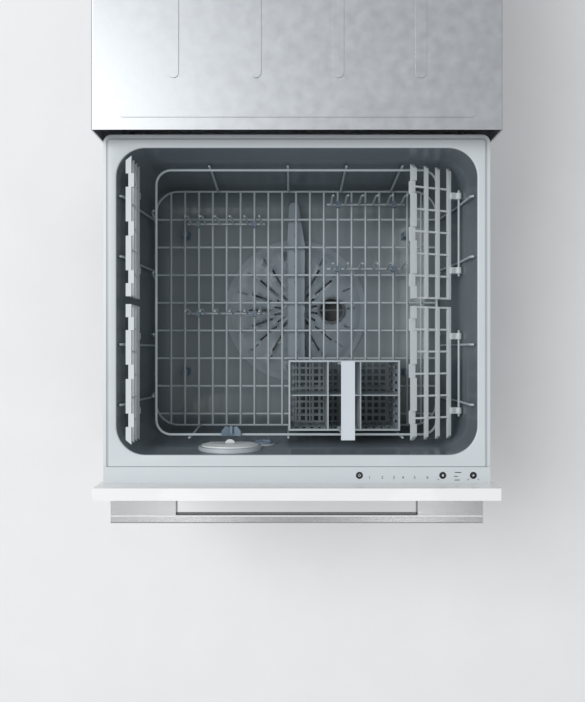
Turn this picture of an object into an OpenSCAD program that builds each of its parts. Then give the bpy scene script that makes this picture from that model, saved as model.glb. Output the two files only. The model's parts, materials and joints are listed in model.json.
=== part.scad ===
// Dishwasher drawer: a chassis for a cabinet, and a tub that runs out of it on slides.
// +Z is up, +X is to the right seen from the front, and the front faces -Y.
// The origin is the centre of the chassis base's underside. The drawer is drawn pulled out.

/* [Chassis] */
// Width over the side sheets
chassis_w = 599; // [595:1:606]
// Chassis depth beyond the opening of the tub
chassis_extra = 89; // [81:1:116]
// Height over the top beads
chassis_h = 454; // [450:1:470]
// Thickness of the folded sheet
sheet_t = 1.2; // [1:0.1:1.4]
// Height of the base pan's upturned edge
pan_edge_h = 14; // [8:1:15]
// Radius of the holes that take the cabinet screws
fixing_hole_r = 2.3; // [2:0.1:3]
// Height between the two cabinet screws on a side
fixing_pitch = 370; // [300:5:380]
// Distance of those screws from the front edge
fixing_inset = 19; // [16:1:30]

/* [Front] */
// Width of the front panel
panel_w = 596; // [585:1:598]
// Thickness of the front panel
panel_t = 18; // [16:1:22]
// Gap under the front panel
panel_foot = 8; // [4:1:12]
// Top of the front panel below the top of the chassis
panel_drop = 4; // [2:1:8]
// Gap between the closed front panel and the chassis
panel_gap = 1.5; // [1:0.5:3]
// Overall length of the handle
handle_w = 568; // [520:2:580]
// How far the handle stands out of the front panel
handle_out = 45; // [38:1:55]
// Height of the handle
handle_h = 20; // [16:1:26]
// Depth of the handle's bar from front to back
bar_d = 14; // [10:1:18]
// Length of the finger gap
finger_w = 369; // [300:1:420]
// Top of the handle below the top of the front panel
handle_drop = 60; // [50:1:120]

/* [Drawer] */
// How far the drawer pulls out
travel = 520; // [480:5:524]
// Rim of the tub below the top of the front panel
rim_drop = 48; // [46:1:60]
// Width over the tub's rim
rim_w = 585; // [583:1:589]
// Width of the tub's opening
opening_w = 546; // [542:1:550]
// Depth of the tub's opening, front to back
opening_d = 464; // [456:1:466]
// Corner radius of the opening
opening_r = 44; // [43.5:0.5:46]
// Depth of the tub below its rim
tub_depth = 290; // [286:1:292]
// Wall of the tub
tub_wall = 3; // [2.5:0.1:3.5]
// Width of the rim behind the opening
rim_rear = 20; // [18:1:22]
// Rim in front of the opening, as far as the seam
seam_d = 17.4; // [16:0.2:19]
// Control strip in front of the seam
strip_d = 25.6; // [24:0.2:28]
// Radius of the rim's rear corners
rim_r = 12; // [10:1:18]

/* [Controls] */
// Radius of the round buttons
button_r = 5.25; // [4.5:0.05:6]
// Travel of a button
button_travel = 1; // [0.6:0.1:1.2]
// Start button from the strip's right end
start_in = 25.6; // [22:0.1:32]
// Programme button from the start button
programme_pitch = 46.2; // [42:0.1:52]
// Power button from the programme button
power_pitch = 126; // [115:0.5:135]
// Buttons in front of the seam
button_in = 13.6; // [12:0.1:16]

/* [Slides] */
// Height of the fixed slide member
slide_h = 46; // [42:1:50]
// Length of each slide member
slide_l = 500; // [490:2:504]
// Middle of the slides below the rim
slide_drop = 202; // [190:1:215]
// Running gap between the slide members
slide_gap = 0.3; // [0.3:0.05:0.5]

/* [Lid] */
// How far the lid drops to seal the tub
lid_travel = 10; // [8:0.5:12]
// Seal above the rim when the lid is down
seal_gap = 0.3; // [0.3:0.05:0.6]
// Width of the seal
seal_w = 10; // [8:0.5:11]
// Height of the seal
seal_h = 5; // [4:0.5:6]
// Thickness of the lid's plate
lid_t = 3; // [2.5:0.1:4]
// Radius of the lid's guide pins
guide_r = 4; // [3:0.1:5]

/* [Wash system] */
// Radius of the sump's cup
sump_r = 96; // [95:1:98]
// Depth of the sump's cup
sump_h = 46; // [44:1:48]
// Radius of the motor
motor_r = 60; // [50:1:70]
// Height of the motor
motor_h = 36; // [30:1:37]
// Radius of the rotor's shaft
shaft_r = 6; // [4:0.1:8]
// Radius of the impeller
impeller_r = 38; // [32:1:39]
// Radius of the filter plate
plate_r = 130; // [124:1:136]
// Tip of the spray arm from the front of the opening
arm_in = 37; // [34:1:50]
// Radius of the spindle that the spray arm turns on
spindle_r = 8; // [7:0.1:9]
// Radius of the lift-out drain filter
filter_r = 23; // [20:0.5:23]
// Drain filter from the rotor's axis
filter_out = 65; // [64:0.5:66]

/* [Dispenser] */
// Middle of the dispenser, left of the middle of the tub
dispenser_x = 105; // [100:1:112]
// Middle of the dispenser below the rim
dispenser_drop = 60; // [58:1:68]
// Radius of the dispenser's housing
dispenser_r = 50; // [46:0.5:51]
// Radius of the half-round door
door_r = 45; // [42:0.5:45]
// Radius of the rinse aid cap
cap_r = 15; // [13:0.5:16]

/* [Basket] */
// Radius of the basket's wires
wire_r = 1.9; // [1.6:0.1:2.1]
// Wire floor from the sides of the opening
floor_side = 21; // [19:1:25]
// Wire floor from the front and the rear of the opening
floor_end = 22; // [22:1:28]
// Corner radius of the wire floor
floor_r = 40; // [34:1:46]
// Wire floor above the tub's floor
floor_rise = 44; // [42:1:50]
// Pitch of the wires that run front to back
pitch_x = 25; // [24:1:28]
// Pitch of the wires that run across
pitch_y = 50; // [46:1:52]
// Sides of the hoop from the sides of the wire floor
hoop_in = 25.5; // [22:0.5:30]
// Corner radius of the hoop
hoop_r = 24; // [18:1:30]
// Hoop below the rim
hoop_drop = 88; // [86:1:96]
// Basket behind the middle of the tub
basket_y = 2; // [1.5:0.5:2.5]

/* [Cup racks] */
// Rack hinges from the sides of the opening
hinge_in = 11; // [11:0.5:15]
// Rack hinges below the rim
hinge_drop = 88; // [86:1:92]
// Reach of a rack from its hinge
rack_reach = 86; // [78:1:86]
// Ends of the racks from the front and the rear of the opening
rack_end = 12; // [12:1:18]
// Gap between the front and the rear rack
rack_gap = 12; // [10:1:16]
// Angle that a rack folds through
rack_fold = 64; // [50:1:66]
// Distance between the posts that carry a rack
post_pitch = 92; // [84:1:100]
// Radius of the hinge rods
hinge_r = 2; // [1.6:0.1:2.2]

/* [Tines] */
// Height of the tines
tine_h = 90; // [60:1:92]
// Pitch of the tines
tine_pitch = 25; // [22:1:30]
// Length of a row of tines
row_l = 140; // [120:5:150]

/* [Cutlery] */
// Width of the cutlery basket
cutlery_w = 182; // [170:1:184]
// Depth of the cutlery basket
cutlery_d = 115; // [105:1:116]
// Height of the cutlery basket
cutlery_h = 143; // [120:1:150]
// Thickness of its walls
cutlery_t = 2; // [1.8:0.1:2.4]
// Its middle, right of the middle of the tub
cutlery_x = 78; // [74:1:80]
// Width of the strap handle
strap_w = 21; // [18:1:24]
// Thickness of the strap handle
strap_t = 2.5; // [2:0.1:3]
// Top of the strap below the rim
strap_drop = 8; // [6:1:30]

/* [Fits] */
// Radial clearance of a shaft that turns or slides in its bore
run_fit = 0.08; // [0.04:0.01:0.1]
// Gap between pieces that move past each other
move_gap = 0.3; // [0.3:0.05:0.5]

/* [Hidden] */
$fn = 48;
eps = 0.01;   // overshoot that keeps a cut from ending on a face
wire_sides = 8;

// Chassis
chassis_d = opening_d + chassis_extra;
bead_h = 1.5;
neck_step = 0.4;                                     // step of a neck where it passes the back sheet
fixing_z = (chassis_h - fixing_pitch) / 2 - 6;       // lower cabinet screw
back_pitch = 125;                                    // screws of the back sheet
back_inset = 34;
inlet_x = -215;
inlet_z = 90;
inlet_r = 13.2;
drain_x = 215;
drain_z = 90;
drain_r = 9.5;
cable_x = 150;
cable_z = 60;
cable_r = 7;

// Heights above the base
panel_top = chassis_h - panel_drop;
rim_z = panel_top - rim_drop;

// The drawer's own frame has its origin at the middle of the opening, at rim level
strip_front = -opening_d / 2 - seam_d - strip_d;     // back face of the front panel
drawer_y = -chassis_d / 2 - panel_gap - strip_front; // drawer frame, closed
inner_x = chassis_w / 2 - sheet_t;                   // inside face of a side sheet

// Front
seam = -opening_d / 2 - seam_d;
panel_h = panel_top - panel_foot;
handle_z = rim_drop - handle_drop - handle_h / 2;    // middle of the handle
handle_screw_x = (handle_w + finger_w) / 4;
handle_screw_pitch = 60;
carrier_top = -31;
carrier_bottom = rim_drop - panel_h + 8;
carrier_screws = [[-270, -120, 120, 270], [carrier_top - 29, -225, carrier_bottom + 16]];
start_x = rim_w / 2 - start_in;
programme_x = start_x - programme_pitch;
power_x = programme_x - power_pitch;

// Slides
slide_t = 13;                                        // thickness of a closed slide
slide_start = -chassis_d / 2 + 10.5;                 // front end of the fixed member
slide_z = rim_z - slide_drop;

// Lid
lid_z = rim_z + lid_travel + seal_gap;               // underside of the raised seal
lid_hx = opening_w / 2 + 11.2;                       // outer half width of the seal
lid_hy = opening_d / 2 + 11.2;
lid_r = opening_r + 6;
lid_top = chassis_h - bead_h - sheet_t;            // underside of the top sheet
guide_x = 220;
guide_y = 180;
drive_x = 150;
drive_pin_r = 3;

// Tub: depth below the rim, and how far the wall has drawn in there
tub_steps = [
  [-1, -2.6], [3, 0], [60, 2.5], [64, 4],
  [tub_depth - 45, 9], [tub_depth - 20, 18], [tub_depth - 6, 32], [tub_depth, 43]
];
tub_corner_n = 10;                                   // flats round each corner
rim_t = 4;
groove_in = 4.4;
groove_w = 3.6;
ledge_out = inner_x - slide_t;                       // side face that carries the slide
ledge_in = opening_w / 2 - 18;
ledge_l = opening_d - 12;

// Wash system, below the rim
floor_z = -tub_depth;
sump_top = floor_z - tub_wall;
sump_floor = sump_top - sump_h;
plate_z = floor_z + 6;
arm_z = plate_z + 14;
arm_l = opening_d / 2 - arm_in;

// Dispenser, on the inside of the front wall
wall_in = opening_d / 2 - 2;                         // seat of the dispenser
pod_x = 51;                                          // rinse aid pod from the dispenser's middle
pod_z = 37;
cup_r = door_r - 6;

// Basket
floor_hx = opening_w / 2 - floor_side;               // half the width of the wire floor
floor_hy = opening_d / 2 - floor_end;
floor_drop = tub_depth - floor_rise;
across_y = 20 - floor_hy;                            // first wire that runs across
hoop_hx = floor_hx - hoop_in;
hinge_x = opening_w / 2 - hinge_in;
rack_l = (opening_d - rack_gap) / 2 - rack_end;
wire_step = 2 * wire_r - 0.6;                        // crossing wires are welded 0.6 deep
weld_gap = 0.1;                                      // between wires of two nodes
hoop_wire_r = wire_r + 0.2;
hoop_front = floor_hy + 1.8;                         // hoop's front and rear wires from
hoop_rear = floor_hy + 5;                            // the basket's middle
uprights = [[hoop_rear, 1, [-140, -14, 80, 170]], [hoop_front, -1, [-172, -13, 85, 170]]];
rack_y = rack_gap / 2 + rack_l / 2;                  // middle of a rack from the basket's middle
axle_rise = 10;                                      // tine axles above the floor's wires
axle_z = -floor_drop + axle_rise;
axle_r = wire_r;
row_left = -5 * pitch_x;
row_right = 5 * pitch_x;
row_rear_left = floor_hy - 60;
row_rear_right = floor_hy - 25;
row_mid_left = -10;
row_mid_right = 70;

// Cutlery basket
cutlery_y = basket_y - floor_hy + wire_r + 0.4 + 2 * move_gap + cutlery_d / 2;
cutlery_z = -floor_drop + wire_r + move_gap;
divider_x = cutlery_w * 0.146;
pivot_r = 3;
pivot_z = cutlery_z + cutlery_h - 12;

// ---------- helpers ----------

module rounded(w, d, r) {
  square([w, d - 2 * r], center = true);
  square([w - 2 * r, d], center = true);
  for (x = [-1, 1], y = [-1, 1])
    translate([x * (w / 2 - r), y * (d / 2 - r)]) circle(r);
}

// A straight wire from a to b
module rod(a, b, r = wire_r, sides = wire_sides) {
  along = b - a;
  length = norm(along);
  translate(a)
    rotate([0, acos(along.z / length), atan2(along.y, along.x)])
      cylinder(h = length, r = r, $fn = sides);
}

// A closed rectangle of wire with round corners
module wire_ring(hx, hy, corner, r) {
  for (s = [-1, 1]) {
    rod([-hx + corner, s * hy, 0], [hx - corner, s * hy, 0], r);
    rod([s * hx, -hy + corner, 0], [s * hx, hy - corner, 0], r);
  }
  for (a = [0:3])
    translate([(a == 0 || a == 3 ? 1 : -1) * (hx - corner), (a < 2 ? 1 : -1) * (hy - corner), 0])
      rotate([0, 0, a * 90])
        rotate_extrude(angle = 90)
          translate([corner, 0]) circle(r, $fn = wire_sides);
}

// A wire through a list of points. Its stretches lap at the bends, each a little
// thinner than the last, so that no two of their edges fall together
module bent_wire(points, r = wire_r) {
  lap = 0.5;
  last = len(points) - 2;
  for (i = [0:last]) {
    way = (points[i + 1] - points[i]) / norm(points[i + 1] - points[i]);
    rod(points[i] - (i > 0 ? lap : 0) * way, points[i + 1] + (i < last ? lap : 0) * way, r - 0.04 * i);
  }
}

module in_drawer() {
  translate([0, drawer_y - travel, rim_z]) children();
}

module in_basket() {
  in_drawer() translate([0, basket_y, 0]) children();
}

module on_side(side) {
  mirror([side < 0 ? 1 : 0, 0, 0]) children();
}

module screw(head_r, head_h, shank_r, length) {
  cylinder(h = head_h, r = head_r);
  translate([0, 0, -length]) cylinder(h = length, r = shank_r);
}

// ---------- chassis ----------

module chassis_wrap() {
  top_z = chassis_h - bead_h;
  fold_r = 3;
  color("gainsboro") difference() {
    union() {
      rotate([90, 0, 0]) translate([0, 0, -chassis_d / 2])
        linear_extrude(chassis_d) difference() {
          translate([0, top_z / 2]) rounded(chassis_w, top_z, fold_r);
          translate([0, top_z / 2 - sheet_t / 2 - fold_r])
            square([2 * inner_x, top_z - sheet_t + 2 * fold_r], center = true);
        }
      // folded hems stiffen the front edges
      for (s = [-1, 1])
        translate([s * (inner_x - sheet_t / 2) - sheet_t / 2, -chassis_d / 2, pan_edge_h + move_gap])
          cube([sheet_t, 10, lid_top - pan_edge_h - move_gap]);
      // beads pressed up in the top sheet
      for (x = [-180, -60, 60, 180])
        translate([x, 10, top_z - eps])
          linear_extrude(bead_h + eps) rounded(16, chassis_d - 130, 8 - eps);
      translate([0, -chassis_d / 2 + 24, top_z - eps])
        linear_extrude(bead_h + eps) rounded(chassis_w - 80, 12, 6 - eps);
    }
    for (s = [-1, 1], z = [0, fixing_pitch])
      translate([s * chassis_w / 2, -chassis_d / 2 + fixing_inset, fixing_z + z])
        rotate([0, 90, 0]) cylinder(h = 20, r = fixing_hole_r, center = true);
  }
}

module chassis_base() {
  w = 2 * inner_x;
  d = chassis_d - 2 * sheet_t;
  color("lightgray") difference() {
    union() {
      translate([-w / 2, -d / 2, 0]) cube([w, d, sheet_t]);
      for (s = [-1, 1])
        translate([s * (w - sheet_t) / 2, 0, pan_edge_h / 2])
          cube([sheet_t, d, pan_edge_h], center = true);
      for (s = [-1, 1])
        translate([0, s * (d - sheet_t) / 2, pan_edge_h / 2])
          cube([w, sheet_t, pan_edge_h], center = true);
      for (x = [-200, -100, 0, 100, 200])
        translate([x, 0, sheet_t - eps])
          linear_extrude(bead_h + eps) rounded(18, d - 140, 9 - eps);
    }
    for (x = [-260, 260], y = [-200, 200])
      translate([x, y, -1]) cylinder(h = 5, r = 4);
  }
}

module chassis_back() {
  w = 2 * inner_x;
  h = lid_top - sheet_t;
  color("lightgray") difference() {
    union() {
      translate([0, chassis_d / 2, sheet_t + h / 2]) rotate([90, 0, 0])
        linear_extrude(sheet_t) square([w, h], center = true);
      for (z = [250, 330])
        translate([0, chassis_d / 2 - sheet_t + eps, z]) rotate([90, 0, 0])
          linear_extrude(bead_h + eps) rounded(w - 120, 18, 9 - eps);
    }
    translate([0, chassis_d / 2 + 1, 130]) rotate([90, 0, 0])
      linear_extrude(10) rounded(96, 56, 12);
    translate([inlet_x, chassis_d / 2 + 1, inlet_z]) rotate([90, 0, 0])
      cylinder(h = 10, r = inlet_r + 1.5);
    translate([drain_x, chassis_d / 2 + 1, drain_z]) rotate([90, 0, 0])
      cylinder(h = 10, r = drain_r + 1);
    translate([cable_x, chassis_d / 2 + 1, cable_z]) rotate([90, 0, 0])
      cylinder(h = 10, r = cable_r);
  }
}

// Screws that hold the back sheet, the fixed slides and the drive brackets
module chassis_screws() {
  color("silver") {
    for (x = [-2, -1, 1, 2] * back_pitch, z = [back_inset + 6, chassis_h - back_inset])
      translate([x, chassis_d / 2, z]) rotate([-90, 0, 0]) cylinder(h = 1.6, r = 4);
    for (s = [-1, 1], x = [-18, 18])
      translate([s * drive_x + x, drawer_y, chassis_h - bead_h]) cylinder(h = 1.4, r = 3.5);
    for (s = [-1, 1], y = [30, slide_l / 2, slide_l - 30])
      translate([s * (inner_x - sheet_t), slide_start + y, slide_z])
        rotate([0, -s * 90, 0]) cylinder(h = 0.6, r = 3.5);
  }
}

// ---------- services on the back ----------

module inlet_valve() {
  y = chassis_d / 2;
  color("white") difference() {
    union() {
      // threaded spigot, collar, and the valve's body inside
      translate([inlet_x, y, inlet_z]) rotate([-90, 0, 0]) cylinder(h = 14, r = inlet_r);
      translate([inlet_x, y - sheet_t - 6, inlet_z]) rotate([-90, 0, 0])
        cylinder(h = 6, r = inlet_r + 6);
      translate([inlet_x, y - sheet_t, inlet_z]) rotate([-90, 0, 0])
        cylinder(h = sheet_t, r = inlet_r + neck_step);
      translate([inlet_x - 12, y - 26, inlet_z - 12]) cube([24, 19, 24]);
      translate([inlet_x, y - 16, inlet_z + 11]) cylinder(h = 24, r = 10);
    }
    translate([inlet_x, y - 5, inlet_z]) rotate([-90, 0, 0]) cylinder(h = 30, r = 9);
  }
}

module drain_outlet() {
  y = chassis_d / 2;
  color("dimgray") difference() {
    union() {
      translate([drain_x, y - 24, drain_z]) rotate([-90, 0, 0]) cylinder(h = 24 + 26, r = drain_r);
      translate([drain_x, y - sheet_t, drain_z]) rotate([-90, 0, 0])
        cylinder(h = sheet_t, r = drain_r + neck_step);
      translate([drain_x, y - sheet_t - 3, drain_z]) rotate([-90, 0, 0])
        cylinder(h = 3, r = drain_r + 6);
    }
    translate([drain_x, y - 25, drain_z]) rotate([-90, 0, 0]) cylinder(h = 60, r = drain_r - 2);
  }
}

module cable_inlet() {
  y = chassis_d / 2;
  color("dimgray") difference() {
    union() {
      translate([cable_x, y - sheet_t - 3, cable_z]) rotate([-90, 0, 0]) cylinder(h = 3, r = cable_r + 3);
      translate([cable_x, y - sheet_t, cable_z]) rotate([-90, 0, 0])
        cylinder(h = sheet_t, r = cable_r - neck_step);
      translate([cable_x, y, cable_z]) rotate([-90, 0, 0]) cylinder(h = 4, r = cable_r + 3);
    }
    translate([cable_x, y - 10, cable_z]) rotate([-90, 0, 0]) cylinder(h = 20, r = 4.2);
  }
}

// ---------- slides ----------
// Sections lie in the plane of the distance u from the side sheet and the height

module both_flanges(u, w, top, t) {
  translate([u, top - t]) square([w, t]);
  translate([u, -top]) square([w, t]);
}

module fixed_section() {
  h = slide_h / 2;
  translate([0, -h]) square([sheet_t, slide_h]);
  both_flanges(0, 10.5, h, 1.5);
  both_flanges(9, 1.5, h - 1.5 + eps, 2);
}

module middle_section() {
  h = slide_h / 2 - 1.5 - slide_gap;
  translate([5.2, -h]) square([1.2, 2 * h]);
  both_flanges(2.2, 6.2, h, 1.2);
  both_flanges(6.4 - eps, 6, h - 3.5, 1.2);
  both_flanges(11.2, 1.2, h - 4.7 + eps, 2);
}

module drawer_section() {
  h = slide_h / 2 - 1.5 - 4.7 - 2 * slide_gap;
  translate([8.4, -h]) square([1.2, 2 * h]);
  both_flanges(7.2, 3.4, h, 1.2);
  translate([9.6 - eps, -h + 4.2]) square([slide_t - 9.6 + eps, 2 * h - 8.4]);
}

module slide_member(side, shift) {
  translate([0, slide_start - shift + slide_l, slide_z]) on_side(side)
    translate([inner_x, 0, 0]) rotate([90, 0, 0]) mirror([1, 0, 0])
      linear_extrude(slide_l) children();
}

module slide_fixed_left() color("silver") slide_fixed(-1);
module slide_fixed_right() color("silver") slide_fixed(1);
module slide_middle_left() color("darkgray") slide_member(-1, travel / 2) middle_section();
module slide_middle_right() color("darkgray") slide_member(1, travel / 2) middle_section();
module slide_drawer_left() color("silver") slide_member(-1, travel) drawer_section();
module slide_drawer_right() color("silver") slide_member(1, travel) drawer_section();

module slide_fixed(side) {
  slide_member(side, 0) fixed_section();
}

// ---------- lid ----------

module lid_panel() {
  plate_bottom = lid_z + seal_h;
  rib_top = plate_bottom + lid_t + 10;
  color("lightsteelblue") translate([0, drawer_y, 0]) {
    translate([0, 0, plate_bottom]) linear_extrude(lid_t) rounded(2 * lid_hx, 2 * lid_hy, lid_r);
    // the lip inside the seal
    translate([0, 0, plate_bottom - 3]) linear_extrude(3 + eps) difference() {
      rounded(2 * (lid_hx - seal_w), 2 * (lid_hy - seal_w), lid_r - seal_w);
      rounded(2 * (lid_hx - seal_w - 2), 2 * (lid_hy - seal_w - 2), lid_r - seal_w - 2);
    }
    // ribs on top
    for (x = [-200, -100, 0, 100, 200])
      translate([x - 1.25, -lid_hy + 24, plate_bottom + lid_t - eps])
        cube([2.5, 2 * lid_hy - 48, 10 + eps]);
    for (y = [-150, -75, 75, 150])
      translate([-lid_hx + 24, y - 1.25, plate_bottom + lid_t - eps])
        cube([2 * lid_hx - 48, 2.5, 8]);
    for (x = [-guide_x, guide_x], y = [-guide_y, guide_y])
      translate([x, y, plate_bottom + lid_t - eps])
        cylinder(h = lid_top - 1.8 - plate_bottom - lid_t, r = guide_r);
    for (s = [-1, 1])
      translate([s * drive_x, 0, plate_bottom + lid_t - eps])
        cylinder(h = lid_top - 3 - plate_bottom - lid_t, r = drive_pin_r);
  }
}

module lid_seal() {
  color("black") translate([0, drawer_y, lid_z]) {
    linear_extrude(seal_h) difference() {
      rounded(2 * lid_hx, 2 * lid_hy, lid_r);
      rounded(2 * (lid_hx - seal_w + 0.1), 2 * (lid_hy - seal_w + 0.1), lid_r - seal_w);
    }
  }
}

// Bushes under the top sheet that guide the lid's pins
module lid_bushes() {
  bottom = lid_z + seal_h + lid_t + 12;
  color("white") translate([0, drawer_y, bottom])
    for (x = [-guide_x, guide_x], y = [-guide_y, guide_y])
      translate([x, y, 0]) difference() {
        union() {
          cylinder(h = lid_top - bottom, r = guide_r + 4);
          translate([0, 0, lid_top - bottom - 2]) cylinder(h = 2, r = guide_r + 9);
        }
        translate([0, 0, -1]) cylinder(h = 40, r = guide_r + run_fit);
      }
}

// Each drive is a gearmotor that pulls its pin down
module lid_drive(side) {
  bottom = lid_z + seal_h + lid_t + 12.5;
  h = lid_top - bottom;
  color("dimgray") translate([side * drive_x, drawer_y, bottom]) difference() {
    union() {
      linear_extrude(h) rounded(52, 36, 6);
      translate([side * 26, 0, h / 2]) rotate([0, side * 90, 0]) cylinder(h = 22, r = h / 2 - 0.5);
    }
    translate([0, 0, -1]) cylinder(h = 40, r = drive_pin_r + run_fit);
  }
}

module lid_drive_left() lid_drive(-1);
module lid_drive_right() lid_drive(1);

// ---------- tub ----------

module rim_outline(inset, front) {
  hw = rim_w / 2 - inset;
  rear = opening_d / 2 + rim_rear - inset;
  r = rim_r - inset;
  translate([-hw, front]) square([2 * hw, rear - r - front]);
  translate([-hw + r, front]) square([2 * (hw - r), rear - front]);
  for (s = [-1, 1]) translate([s * (hw - r), rear - r]) circle(r);
}

// The tub's outline where its wall has drawn in by inset, as a ring of points
function tub_ring(inset, z) = [
  for (c = [0:3], k = [0:tub_corner_n])
    let (a = 90 * c + 90 * k / tub_corner_n, r = opening_r - inset)
      [(c == 0 || c == 3 ? 1 : -1) * (opening_w / 2 - opening_r) + r * cos(a),
       (c < 2 ? 1 : -1) * (opening_d / 2 - opening_r) + r * sin(a), z]
];

// A solid through the rings of a list of steps, grown outwards and downwards
module tub_form(steps, grow) {
  n = 4 * (tub_corner_n + 1);
  last = (len(steps) - 1) * n;
  polyhedron(
    [for (step = steps) each tub_ring(step[1] - grow, -step[0] - grow)],
    concat(
      [[for (k = [n - 1:-1:0]) k], [for (k = [0:n - 1]) last + k]],
      [for (i = [0:len(steps) - 2], k = [0:n - 1])
        [i * n + k, i * n + (k + 1) % n, (i + 1) * n + (k + 1) % n, (i + 1) * n + k]]));
}

module tub() {
  outer_steps = [for (i = [1, 4, 5, 6, 7]) tub_steps[i] - [i == 1 ? tub_wall : 0, 0]];
  color("slategray") in_drawer() difference() {
    union() {
      translate([0, 0, -rim_t]) linear_extrude(rim_t) rim_outline(0, seam);
      // skirt under the rim's outer edge
      translate([0, 0, -14]) linear_extrude(14 - rim_t + eps) difference() {
        rim_outline(0, seam);
        rim_outline(2, seam - 1);
      }
      tub_form(outer_steps, tub_wall);
      // ledges that carry the drawer slides
      for (s = [-1, 1]) on_side(s) {
        for (z = [-slide_drop - 17, -slide_drop + 14])
          translate([ledge_in, -ledge_l / 2, z]) cube([ledge_out - ledge_in, ledge_l, 3]);
        for (i = [0:8])
          translate([ledge_in, (i / 8 - 0.5) * ledge_l - i * 3 / 8, -slide_drop - 17])
            cube([ledge_out - ledge_in, 3, 34]);
      }
      // lugs that carry the front
      for (x = [-200, 200], z = [-90, -210])
        translate([x - 15, strip_front + sheet_t, z]) difference() {
          cube([30, -strip_front - sheet_t - opening_d / 2 + 12, 26]);
          translate([3, -1, 3]) cube([24, 36, 20]);
        }
      // ribs under the floor
      for (a = [30:60:330])
        rotate([0, 0, a]) translate([sump_r + 8, -1.5, floor_z - tub_wall - 8])
          cube([70, 3, 10]);
    }
    tub_form(tub_steps, 0);
    // drip groove inside the rim's outer edge
    translate([0, 0, -1]) linear_extrude(2) difference() {
      rim_outline(groove_in, seam - 1);
      rim_outline(groove_in + groove_w, seam - 2);
    }
    // well over the sump
    translate([0, 0, floor_z - 20]) cylinder(h = 40, r = sump_r - 3);
    // holes for the dispenser and its rinse aid pod
    translate([-dispenser_x, -opening_d / 2 + 20, -dispenser_drop]) rotate([90, 0, 0])
      cylinder(h = 40, r = dispenser_r + move_gap);
    translate([-dispenser_x + pod_x, -opening_d / 2 + 20, -dispenser_drop - pod_z]) rotate([90, 0, 0])
      cylinder(h = 40, r = cap_r + 4 + move_gap);
  }
}

// ---------- control strip ----------

module control_fascia() {
  color("lightsteelblue") in_drawer() difference() {
    union() {
      translate([-rim_w / 2, strip_front, -3]) cube([rim_w, strip_d - 0.8, 3]);
      // tongue under the tub's rim
      translate([-rim_w / 2 + 4, seam - 3, -rim_t - 2]) cube([rim_w - 8, 8, 2]);
      translate([-rim_w / 2 + 4, seam - 3, -rim_t - 2]) cube([rim_w - 8, 2, rim_t + 1]);
      // skirts at the front and the ends
      translate([-rim_w / 2, strip_front, -30]) cube([rim_w, 2, 30]);
      for (s = [-1, 1])
        translate([s * (rim_w / 2 - 1) - 1, strip_front, -30]) cube([2, strip_d - 4, 30]);
    }
    for (x = [power_x, programme_x, start_x])
      translate([x, seam - button_in, -10]) cylinder(h = 20, r = button_r + run_fit);
    // room for the heads of the handle's screws
    for (s = [-1, 1], x = [-0.5, 0.5] * handle_screw_pitch)
      translate([s * handle_screw_x + x, strip_front + 5, handle_z])
        rotate([90, 0, 0]) cylinder(h = 10, r = 5.5);
  }
}

module button(x) {
  color("black") in_drawer() translate([x, seam - button_in, 0]) {
    translate([0, 0, -6]) cylinder(h = 6, r = button_r);
    cylinder(h = 0.6, r1 = button_r, r2 = button_r - 0.5);
    translate([0, 0, -3 - move_gap - 1.3]) cylinder(h = 1.3, r = button_r + 1.4);
  }
}

module power_button() button(power_x);
module programme_button() button(programme_x);
module start_button() button(start_x);

module controller_box() {
  left = power_x - 20;
  right = rim_w / 2 - 8;
  depth = strip_d - 8;
  top = -6 - button_travel - move_gap;
  color("dimgray") in_drawer() {
    translate([left, strip_front + 3, -44]) cube([right - left, depth, 44 + top - 1.5]);
    for (x = [power_x, programme_x, start_x])
      translate([x, seam - button_in, top - 1.5 - eps]) cylinder(h = 1.5 + eps, r = 2.5);
    // posts that reach the strip
    for (x = [left, (power_x + programme_x) / 2, right - 4])
      translate([x, strip_front + 3, -44]) cube([4, depth, 41]);
  }
}

// ---------- front ----------

module front_panel() {
  color("white") in_drawer() difference() {
    translate([0, strip_front, rim_drop - panel_h / 2]) rotate([90, 0, 0])
      linear_extrude(panel_t) rounded(panel_w, panel_h, 1.2);
    for (s = [-1, 1], x = [-0.5, 0.5] * handle_screw_pitch)
      translate([s * handle_screw_x + x, strip_front + 1, handle_z])
        rotate([90, 0, 0]) cylinder(h = panel_t + 2, r = 2.5);
  }
}

module panel_carrier() {
  top = carrier_top;
  bottom = carrier_bottom;
  w = rim_w - 10;
  color("silver") in_drawer() difference() {
    union() {
      translate([-w / 2, strip_front, bottom]) cube([w, sheet_t, top - bottom]);
      for (s = [-1, 1])
        translate([s * (w - sheet_t) / 2 - sheet_t / 2, strip_front, bottom])
          cube([sheet_t, 10, top - bottom]);
      translate([-w / 2, strip_front, bottom]) cube([w, 10, sheet_t]);
    }
    for (x = [-240:80:240], z = [-150, -300])
      translate([x, strip_front + 5, z]) rotate([90, 0, 0]) linear_extrude(10) rounded(50, 90, 12);
  }
}

module panel_screws() {
  color("silver") in_drawer()
    for (x = carrier_screws[0], z = carrier_screws[1])
      translate([x, strip_front + sheet_t, z]) rotate([-90, 0, 0]) cylinder(h = 2, r = 4);
}

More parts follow.
